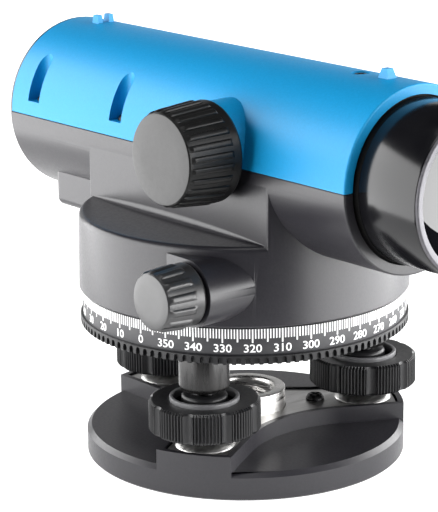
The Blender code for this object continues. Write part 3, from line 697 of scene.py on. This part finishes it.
def build_circle():
    put("circle_grip", slotted_flange(), "foot_knob", "circle", angle=28)
    bore = 31.3
    profile = [
        (bore, CIRCLE_LOW + 0.3), (FLANGE_R - 2.6, CIRCLE_LOW + 0.3), (FLANGE_R - 2.6, FLANGE_HIGH - 0.4),
        (CIRCLE_R, FLANGE_HIGH - 0.4), (CIRCLE_R, CIRCLE_HIGH), (50.5, CIRCLE_HIGH), (50.5, 48.3),
        (34.5, 48.3), (34.5, 51.0), (bore, 51.0),
    ]
    put("circle_ring", turned(profile, 240, 0.25), "dial", "circle", ["horizontal_circle"])

    marks = bmesh.new()
    for degree in range(360):
        low = 52.2 if degree % 5 == 0 else 53.3
        low = 51.95 if degree % 10 == 0 else low
        width = 0.46 if degree % 5 == 0 else 0.40
        mark = block((-width / 2, low, -0.05), (width / 2, CIRCLE_HIGH - 0.15, 0.045))
        marks = merged(marks, wrapped(mark, CIRCLE_R, DIAL_ZERO_ANGLE - degree, 0))
    put("circle_marks", marks, "paint", "circle")

    figures = bmesh.new()
    for value in range(0, 360, 10):
        curve = bpy.data.curves.new("figure", "FONT")
        curve.body = str(value)
        curve.size = 3.62
        curve.align_x = "CENTER"
        curve.offset = 0.035
        curve.extrude = 0.05
        curve.resolution_u = 3
        curve.space_character = 0.98
        holder = bpy.data.objects.new("figure", curve)
        bpy.context.scene.collection.objects.link(holder)
        graph = bpy.context.evaluated_depsgraph_get()
        letters = bpy.data.meshes.new_from_object(holder.evaluated_get(graph))
        bpy.data.objects.remove(holder)
        flat = bmesh.new()
        flat.from_mesh(letters)
        placed(flat, Matrix.Diagonal((1.1, 1, 1, 1)))
        wide = [e for e in flat.edges if abs(e.verts[0].co.x - e.verts[1].co.x) > 1]
        bmesh.ops.subdivide_edges(flat, edges=wide, cuts=1)
        figures = merged(figures, wrapped(flat, CIRCLE_R, DIAL_ZERO_ANGLE - value, FIGURES_LOW))
    put("circle_figures", figures, "paint", "circle")


def tube_shape():
    profile = [(0, TUBE_REAR)]
    profile += arc((TUBE_REAR_R - 1.2, TUBE_REAR + 1.2), 1.2, -90, 0, 6)
    profile += arc((TUBE_FRONT_R - 0.6, TUBE_FRONT - 0.6), 0.6, 0, 90, 4)
    return along_x(turned([*profile, (0, TUBE_FRONT)], 192))


def tube_hollow():
    profile = [
        (0, TUBE_REAR + 4), (27.0, TUBE_REAR + 4), (27.0, 60.0), (25.8, 61.5), (25.8, TUBE_FRONT + 5),
        (0, TUBE_FRONT + 5),
    ]
    return along_x(turned(profile, 128))


def cylinder(radius, low, high, segments=64):
    return turned([(0, low), (radius, low), (radius, high), (0, high)], segments)


def neck_outline(corner):
    """The neck seen from above: the drum's round front and back between two flat cheeks, corners rounded."""
    lift = asin((CHEEK_Y - corner) / (DRUM_R - corner))
    centre = ((DRUM_R - corner) * cos(lift), CHEEK_Y - corner)
    quarter = arc(centre, corner, degrees(lift), 90, 6)
    front = arc((0, 0), DRUM_R, 0, degrees(lift), 32)[:-1] + quarter
    back = [(-x, y) for x, y in front[::-1]]
    half = front + back[:-1]
    return half + [(-x, -y) for x, y in half]


def foot_fillet(side):
    """The hollow curve between a cheek and the drum's top, wider where the ledge is wider."""
    bm = bmesh.new()
    rows = []
    for step in range(49):
        x = -45.0 + 90.0 * step / 48
        reach = 0.05 + 0.094 * max(0.0, sqrt(DRUM_R ** 2 - x ** 2) - CHEEK_Y)
        angles = [pi / 2 * turn / 8 for turn in range(9)]
        curve = [(reach * (1 - sin(a)), reach * (1 - cos(a))) for a in angles]
        section = [(-1.0, -0.5), (reach, -0.5), *curve, (-1.0, reach)]
        rows.append([bm.verts.new((x, side * (CHEEK_Y + y), DRUM_HIGH + z)) for y, z in section])
    for here, there in zip(rows, rows[1:]):
        for index in range(len(here)):
            after = (index + 1) % len(here)
            bm.faces.new((here[index], here[after], there[after], there[index]))
    bm.faces.new(rows[0])
    bm.faces.new(rows[-1][::-1])
    bmesh.ops.recalc_face_normals(bm, faces=bm.faces)
    return bm


def drum_and_neck():
    profile = [(0, DRUM_LOW), (DRUM_R - 0.1, DRUM_LOW), (DRUM_R + 0.45, DRUM_LOW + 0.6)]
    profile += arc((DRUM_R - 1.8, DRUM_HIGH - 1.8), 1.8, 0, 90, 6)
    steps = [("UNION", extruded(neck_outline(1.3), 74.0, 104.45))]
    steps += [("UNION", foot_fillet(side)) for side in (-1, 1)]
    return carved(turned([*profile, (0, DRUM_HIGH)], 256), steps)


def focus_boss():
    """The boss behind the focus knob, split by the seam and narrower along the tube than it is tall."""
    boss = placed(cylinder(FOCUS_BOSS_R, 20, FOCUS_BOSS_Y, 128), Matrix.Diagonal((FOCUS_BOSS_SHARE, 1, 1, 1)))
    return along_y(boss, FOCUS_X + FOCUS_BOSS_SHIFT, FOCUS_Z)


def build_housing():
    lug = block((-76, -22, 72.7), (-40, 22, 92), 2.8, 5)
    tangent = along_y(cylinder(TANGENT_BOSS_R, -TANGENT_BOSS_Y, TANGENT_BOSS_Y, 96), TANGENT_X, TANGENT_Z)
    focus = focus_boss()
    ears = []
    for side in (-1, 1):
        near, far = sorted((side * 40.0, side * TANGENT_BOSS_Y))
        low, high = (TANGENT_X - TANGENT_BOSS_R, near, TANGENT_Z), (TANGENT_X, far, TANGENT_Z + TANGENT_BOSS_R)
        ears.append(block(low, high))
    steps = [("UNION", tube_shape()), ("UNION", lug), ("UNION", tangent)]
    steps += [("UNION", ear) for ear in ears]
    steps += [
        ("UNION", focus),
        ("DIFFERENCE", block((TUBE_REAR + END_PLATE, -70, TUBE_Z - SEAM - 0.02), (120, 70, 160))),
        ("DIFFERENCE", cylinder(51.0, DRUM_LOW - 5, 75.4, 160)),
        ("DIFFERENCE", tube_hollow()),
        ("DIFFERENCE", along_x(cylinder(EYEPIECE_HOLE_R, TUBE_REAR - 5, TUBE_REAR + 8, 64))),
        ("DIFFERENCE", along_y(cylinder(2.8, -70, 70, 32), TANGENT_X, TANGENT_Z)),
        ("DIFFERENCE", along_y(cylinder(FOCUS_HOLE_R, 10, 50, 32), FOCUS_X, FOCUS_Z)),
    ]
    housing = carved(drum_and_neck(), steps)
    put("housing_casting", housing, "casting", "instrument", ["lower_housing"], bevel=0.35, angle=38)


def tapered(bm, along, across):
    """Draw in the top of a block to a share of its length and width."""
    for point in bm.verts:
        if point.co.z > 0:
            point.co.x *= along
            point.co.y *= across
    return bm


def build_cover():
    crest = TUBE_Z + TUBE_R
    steps = [("UNION", focus_boss())]
    for side in (-1, 1):
        post = tapered(block((-1.9, -1.35, -2), (1.9, 1.35, 2.9)), 0.72, 0.62)
        steps.append(("UNION", placed(post, Matrix.Translation((-75.2, side * 2.35, crest)))))
    sight = tapered(block((-2.6, -2.3, -2), (2.6, 2.3, 2.6)), 0.46, 0.5)
    steps += [
        ("UNION", placed(sight, Matrix.Translation((67, 0, crest)))),
        ("DIFFERENCE", block((-120, -70, 40), (120, 70, TUBE_Z + SEAM))),
        ("DIFFERENCE", block((-120, -70, 80), (TUBE_REAR + END_PLATE + 0.1, 70, 160))),
        ("DIFFERENCE", tube_hollow()),
        ("DIFFERENCE", along_x(cylinder(EYEPIECE_HOLE_R, TUBE_REAR - 5, TUBE_REAR + 8, 64))),
        ("DIFFERENCE", along_y(cylinder(FOCUS_HOLE_R, 10, 50, 32), FOCUS_X, FOCUS_Z)),
    ]
    for x in SCREW_X:
        for side in (-1, 1):
            column = cylinder(5.2, TUBE_Z + SEAM, TUBE_Z + 24, 48)
            steps.append(("UNION", carved(placed(column, Matrix.Translation((x, side * SCREW_Y, 0))), [
                ("INTERSECT", along_x(cylinder(TUBE_R - 0.4, TUBE_REAR, TUBE_FRONT, 128)))])))
    for x in SCREW_X:
        for side in (-1, 1):
            outline = arc((0, 0), WELL_R, 0, -180 * side, 24) + [(-WELL_R, side * 16), (WELL_R, side * 16)]
            well = extruded(outline, WELL_FLOOR, crest + 5)
            steps.append(("DIFFERENCE", placed(well, Matrix.Translation((x, side * SCREW_Y, 0)))))
    top = cylinder(2.9, crest - 1.6, crest + 5, 48)
    steps.append(("DIFFERENCE", placed(top, Matrix.Translation((TOP_SCREW_X, 0, 0)))))
    cover = carved(tube_shape(), steps)
    put("cover_moulding", cover, "blue", "instrument", ["top_cover"], bevel=0.42, angle=38)

    for index, x in enumerate(SCREW_X):
        for side in (-1, 1):
            label = f"{'rear' if index == 0 else 'front'}_{'right' if side < 0 else 'left'}"
            head = screw_head(x, side * SCREW_Y, WELL_FLOOR + 0.05, 2.5, 1.6)
            put(f"well_screw_{label}", head, "dark_steel", "instrument", [f"cover_screw_{label}"])
    head = screw_head(TOP_SCREW_X, 0, crest - 1.6, 2.5, 1.0)
    put("top_screw", head, "dark_steel", "instrument", ["cover_screw_top"])

    rear, front = TUBE_REAR + 1.5, TUBE_FRONT - 0.6
    band = [(26.2, rear), (28.9, rear), (28.9, front), (26.2, front)]
    layer = block((-120, -70, TUBE_Z - 0.4), (120, 70, TUBE_Z + 0.4))
    gasket = carved(along_x(turned(band, 128)), [("INTERSECT", layer)])
    put("cover_joint", gasket, "joint_line", "instrument")


def build_objective():
    front = OBJECTIVE_FRONT
    root = TUBE_FRONT + 1.6
    profile = [
        (22.9, 62.5), (24.9, 62.5), (24.9, TUBE_FRONT - 2), (OBJECTIVE_R - 0.1, root),
        (OBJECTIVE_R, root + 0.3), (OBJECTIVE_R, front - 1.3), (OBJECTIVE_R - 0.3, front - 0.8),
        (24.8, front - 2.2), (22.9, front - 2.2),
    ]
    barrel = along_x(turned(profile, 192))
    put("objective_barrel", barrel, "black", "instrument", ["objective_tube"])
    # The seat ring at the barrel's root is matt and near black so that it shows as a dark band: painted shade
    # at the root of the barrel
    seat = turned([(24.95, TUBE_FRONT - 3), (25.75, TUBE_FRONT - 3), (25.75, TUBE_FRONT - 0.9),
                   (25.12, TUBE_FRONT - 0.6), (25.08, root), (24.95, root)], 192)
    put("objective_root_shade_band", along_x(seat), "root_shade_black", "instrument")
    rim = turned([(21.8, front - 3.4), (24.6, front - 2.2), (24.75, front - 0.9), (24.4, front - 0.2),
                  (24.0, front), (22.1, front - 0.35), (21.8, front - 1.4)], 192, 0.2)
    put("objective_rim", along_x(rim), "edge", "instrument", ["lens_ring"])
    edge = front - 4.4
    angles = [radians(a) for a in range(90, 0, -6)]
    face = [(OBJECTIVE_GLASS_R * sin(a), edge + OBJECTIVE_BULGE * cos(a)) for a in angles]
    lens = turned([(0, 93.5), (OBJECTIVE_GLASS_R, 94.5), *face, (0, edge + OBJECTIVE_BULGE)], 160)
    put("objective_glass", along_x(lens), "lens", "instrument", ["objective_lens"])
    back = turned([(0, 91.0), (OBJECTIVE_GLASS_R, 91.0), (OBJECTIVE_GLASS_R, 92.0), (9.0, 92.0), (0, 92.0)], 96)
    put("objective_baffle", along_x(back), "joint_line", "instrument")


def ribbed(count, width, rise):
    """Radius change for raised straight ribs. width is a share of the pitch."""
    def shape(angle):
        place = (angle * count / (2 * pi)) % 1.0
        side = abs(place - 0.5) / (width / 2)
        if side >= 1:
            return 0.0
        return rise * sqrt(1 - side ** 3)
    return shape


def ribbed_knob(back, face, back_r, face_r, count, width, rise, rib_from, rib_to, crown):
    """A tapered knob with round-ended ribs between two heights and a slightly crowned face."""
    rib = ribbed(count, width, rise)
    rows = [(2.9, back), (back_r - 1.1, back), (back_r - 0.35, back + 0.35), (back_r, back + 1.1)]
    steps = 22
    for step in range(1, steps):
        t = step / steps
        rows.append((back_r + (face_r - back_r) * t, back + 1.1 + (face - 1.0 - back - 1.1) * t))
    rows += [(face_r, face - 1.0), (face_r - 0.12, face - 0.5), (face_r - 0.5, face - 0.12)]
    rows.append((face_r - 1.0, face))
    rows += [(face_r * 0.6, face + crown * 0.6), (face_r * 0.3, face + crown * 0.9), (0, face + crown)]
    rows = [(0, back + 8), (2.9, back + 8), *rows]

    def shape(angle, radius, height):
        if height < rib_from or height > rib_to or radius < face_r - 1.2:
            return radius
        end = min(1.0, (height - rib_from) / 1.2)
        end = sqrt(max(0.0, 1 - (1 - end) ** 2))
        near = min(1.0, max(0.0, (rib_to - height) / 1.2))
        near = sqrt(1 - (1 - near) ** 2)
        return radius + rib(angle) * end * near

    return turned(rows, count * 20, 0.0, shape)


def build_drives():
    back, face = FOCUS_BOSS_Y + 0.5, FOCUS_KNOB_Y
    knob = ribbed_knob(back, face, 15.9, 14.35, 26, 0.60, 0.62, back + 3.6, face - 1.1, 0.15)
    put("focus_knob_grip", along_y(knob, FOCUS_X, FOCUS_Z), "knob", "focus_drive", ["focus_knob"],
        angle=28)
    cap = [(0, face - 0.8), (13.2, face - 0.8), (13.9, face - 0.06), (13.4, face + 0.03), (8.6, face + 0.12),
           (4.3, face + 0.165), (0, face + 0.18)]
    put("focus_knob_cap", along_y(turned(cap, 128), FOCUS_X, FOCUS_Z), "knob_face", "focus_drive")
    back, face = TANGENT_BOSS_Y + 0.5, TANGENT_KNOB_Y
    for label, side in (("right", -1), ("left", 1)):
        knob = ribbed_knob(back, face, 9.9, 8.9, 13, 0.52, 0.6, back + 4.2, face - 0.9, 0.05)
        grip = along_y(knob, TANGENT_X, TANGENT_Z, side)
        put(f"tangent_knob_{label}_grip", grip, "small_knob", "tangent_drive",
            [f"tangent_knob_{label}"], angle=28)


def build_eyepiece():
    tube = [(10.4, -99), (12.3, -99), (12.3, -90.7), (12.9, -90.1), (12.9, -76), (10.4, -76)]
    barrel = along_x(turned(tube, 128, 0.3))
    put("eyepiece_body", barrel, "black", "instrument", ["eyepiece_tube"])
    rib = ribbed(36, 0.6, 0.38)

    def knurl(angle, radius, height):
        return radius + rib(angle) if radius > 15.1 and -99.3 < height < -92.7 else radius

    rows = [(15.18, -99.2), (15.18, -98.9), (15.18, -93.1), (15.18, -92.8)]
    ring = [(12.8, -100.1), (14.6, -100.1), (15.0, -99.8), (15.18, -99.4), *rows, (15.18, -92.6),
            (15.0, -92.2), (14.6, -91.9), (12.8, -91.9)]
    put("dioptre_grip", along_x(turned(ring, 720, 0.0, knurl)), "knob", "dioptre", ["dioptre_ring"])
    cup = [(10.7, -104.3), (11.1, -105), (12.0, -105), (12.9, -104.5), (13.8, -103.7), (14.2, -103.0),
           (14.2, -100.6), (10.7, -100.6)]
    put("soft_eyecup", along_x(turned(cup, 128, 0.25)), "rubber", "dioptre", ["eyecup"])
    cell = [(7.3, -99.9), (7.7, -100.4), (9.5, -100.4), (9.95, -100.0), (9.95, -83), (7.3, -83)]
    put("eye_cell_ring", along_x(turned(cell, 96)), "brass", "eye_cell", ["eye_lens_cell"])
    lens = [(0, -97.7), (1.8, -97.6), (3.6, -97.3), (5.2, -96.8), (6.6, -96.1), (7.1, -95.8), (7.1, -93),
            (0, -93)]
    put("eye_glass", along_x(turned(lens, 96)), "lens", "eye_cell", ["eye_lens"])


def build_vial():
    low = VIAL_LOW
    place = Matrix.Translation((VIAL_X, VIAL_Y, 0))
    profile = [(0, low), (9.8, low), (10.2, low + 0.4), (10.2, low + 7.7), (9.7, low + 8.35),
               (8.2, low + 8.35), (8.2, low + 7.0), (0, low + 7.0)]
    steps = []
    for side in (-1, 1):
        y = VIAL_Y + side * 7.4
        steps.append(("UNION", block((-7.0, y - 1.2, low), (HINGE_X + 2.2, y + 1.2, HINGE_Z + 1.3), 0.4)))
    steps += [
        ("DIFFERENCE", placed(cylinder(8.6, low + 2.5, low + 20, 96), place)),
        ("DIFFERENCE", along_y(cylinder(1.0, -(VIAL_Y + 12), -(VIAL_Y - 12), 32), HINGE_X, HINGE_Z)),
    ]
    holder = carved(placed(turned(profile, 128), place), steps)
    put("vial_cup", holder, "knob", "instrument", ["vial_holder"])
    dome = [(8.2 * sin(radians(a)), low + 6.2 + 1.6 * cos(radians(a))) for a in range(90, -1, -6)]
    glass = turned([(0, low + 2.8), (8.2, low + 2.8), *dome[:-1], (0, low + 7.8)], 96)
    put("vial_dome", placed(glass, place), "vial", "instrument", ["vial_glass"])
    ring = turned([(2.7, low + 7.68), (3.0, low + 7.66), (3.0, low + 7.78), (2.7, low + 7.8)], 96)
    put("vial_ring", placed(ring, place), "joint_line", "instrument")


def finish_frame(frame):
    """Give the CAD pieces that stay in view their finishes."""
    finishes = {
        "casting": "casting", "cover": "blue", "knob": "knob", "black_metal": "black", "rubber": "rubber",
        "bright_plate": "plate", "steel": "steel", "brass": "brass", "glass": "clear", "mirror": "mirror",
    }
    for part in frame["record"]["subparts"]:
        node = frame["nodes"][part["node"]]
        node.data.materials.clear()
        node.data.materials.append(MATERIALS[finishes[part["material_slot"]]])


# Studio


def build_camera():
    azimuth, elevation, roll = (radians(a) for a in (CAMERA_AZIMUTH, CAMERA_ELEVATION, CAMERA_ROLL))
    back = Vector((sin(azimuth) * cos(elevation), -cos(azimuth) * cos(elevation), sin(elevation)))
    right = Vector((cos(azimuth), sin(azimuth), 0))
    up = back.cross(right)
    turned_right = cos(roll) * right + sin(roll) * up
    turned_up = -sin(roll) * right + cos(roll) * up
    data = bpy.data.cameras.new("camera")
    data.lens = CAMERA_LENS
    data.sensor_width = 36.0
    data.clip_start = 0.01
    data.clip_end = 50.0
    camera = bpy.data.objects.new("camera", data)
    bpy.context.scene.collection.objects.link(camera)
    place = (Vector(CAMERA_TARGET) + CAMERA_DISTANCE * back) * MM
    facing = Matrix((turned_right, turned_up, back)).transposed().to_4x4()
    camera.matrix_world = Matrix.Translation(place) @ facing
    bpy.context.scene.camera = camera


def area_light(name, azimuth, elevation, distance, width, height, power):
    """A softbox at an azimuth and elevation round the object, in the camera's convention."""
    a, e = radians(azimuth), radians(elevation)
    place = Vector((sin(a) * cos(e), -cos(a) * cos(e), sin(e))) * distance + Vector(LIGHT_AIM)
    data = bpy.data.lights.new(name, "AREA")
    data.shape = "RECTANGLE"
    data.size = width
    data.size_y = height
    data.energy = power
    light = bpy.data.objects.new(name, data)
    bpy.context.scene.collection.objects.link(light)
    light.location = place
    light.rotation_mode = "QUATERNION"
    light.rotation_quaternion = (Vector(LIGHT_AIM) - place).to_track_quat("-Z", "Y")
    light.visible_camera = False


def build_studio():
    """A pale table between two tall softboxes, with a dim room in front and a white ground behind."""
    outline = arc((0, 0), TABLE_R, 180, 360, 48)
    outline += [(TABLE_FAR_HALF, TABLE_FAR), (-TABLE_FAR_HALF, TABLE_FAR)]
    table = bmesh.new()
    table.faces.new([table.verts.new((x * MM, y * MM, 0)) for x, y in rotated(outline, CAMERA_AZIMUTH)])
    floor = as_object(table, "floor")
    paper = shader("pale_paper", (0.90, 0.90, 0.90), 0.9, Emission_Color=(1, 1, 1, 1), Emission_Strength=0.55)
    grained(paper, 700, 0.05, 0.00005)
    floor.data.materials.append(paper)

    area_light("left_softbox", CAMERA_AZIMUTH - 91, 2, 1.15, 2.85, 1.65, 85)
    area_light("right_softbox", CAMERA_AZIMUTH + 90, 7, 1.15, 2.95, 1.15, 90)
    area_light("back_softbox", CAMERA_AZIMUTH + 180, 14, 1.5, 1.8, 0.6, 2.2)
    area_light("top_softbox", CAMERA_AZIMUTH - 20, 78, 1.5, 0.9, 0.9, 4.5)

    world = bpy.data.worlds.new("studio")
    bpy.context.scene.world = world
    world.use_nodes = True
    tree = world.node_tree
    background = tree.nodes["Background"]
    path = tree.nodes.new("ShaderNodeLightPath")
    mix = tree.nodes.new("ShaderNodeMix")
    mix.data_type = "RGBA"
    mix.inputs[6].default_value = (0.035, 0.035, 0.04, 1)
    mix.inputs[7].default_value = (1.0, 1.0, 1.0, 1)
    tree.links.new(path.outputs["Is Camera Ray"], mix.inputs[0])
    tree.links.new(mix.outputs[2], background.inputs["Color"])
    view = bpy.context.scene.view_settings
    view.view_transform = "Standard"
    view.look = "None"


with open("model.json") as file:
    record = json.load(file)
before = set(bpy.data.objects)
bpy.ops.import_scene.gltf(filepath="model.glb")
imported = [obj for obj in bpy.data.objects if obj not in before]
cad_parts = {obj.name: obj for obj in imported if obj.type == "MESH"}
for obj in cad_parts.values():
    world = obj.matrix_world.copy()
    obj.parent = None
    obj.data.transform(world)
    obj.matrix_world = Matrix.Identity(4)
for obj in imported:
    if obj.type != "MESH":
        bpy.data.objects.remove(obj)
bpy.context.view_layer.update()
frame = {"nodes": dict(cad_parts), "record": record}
MATERIALS = make_materials()
build_camera()
finish_frame(frame)
build_base()
for foot in FOOT_ANGLES:
    build_foot_screw(foot)
build_head()
build_circle()
build_housing()
build_cover()
build_objective()
build_drives()
build_eyepiece()
build_vial()
build_studio()
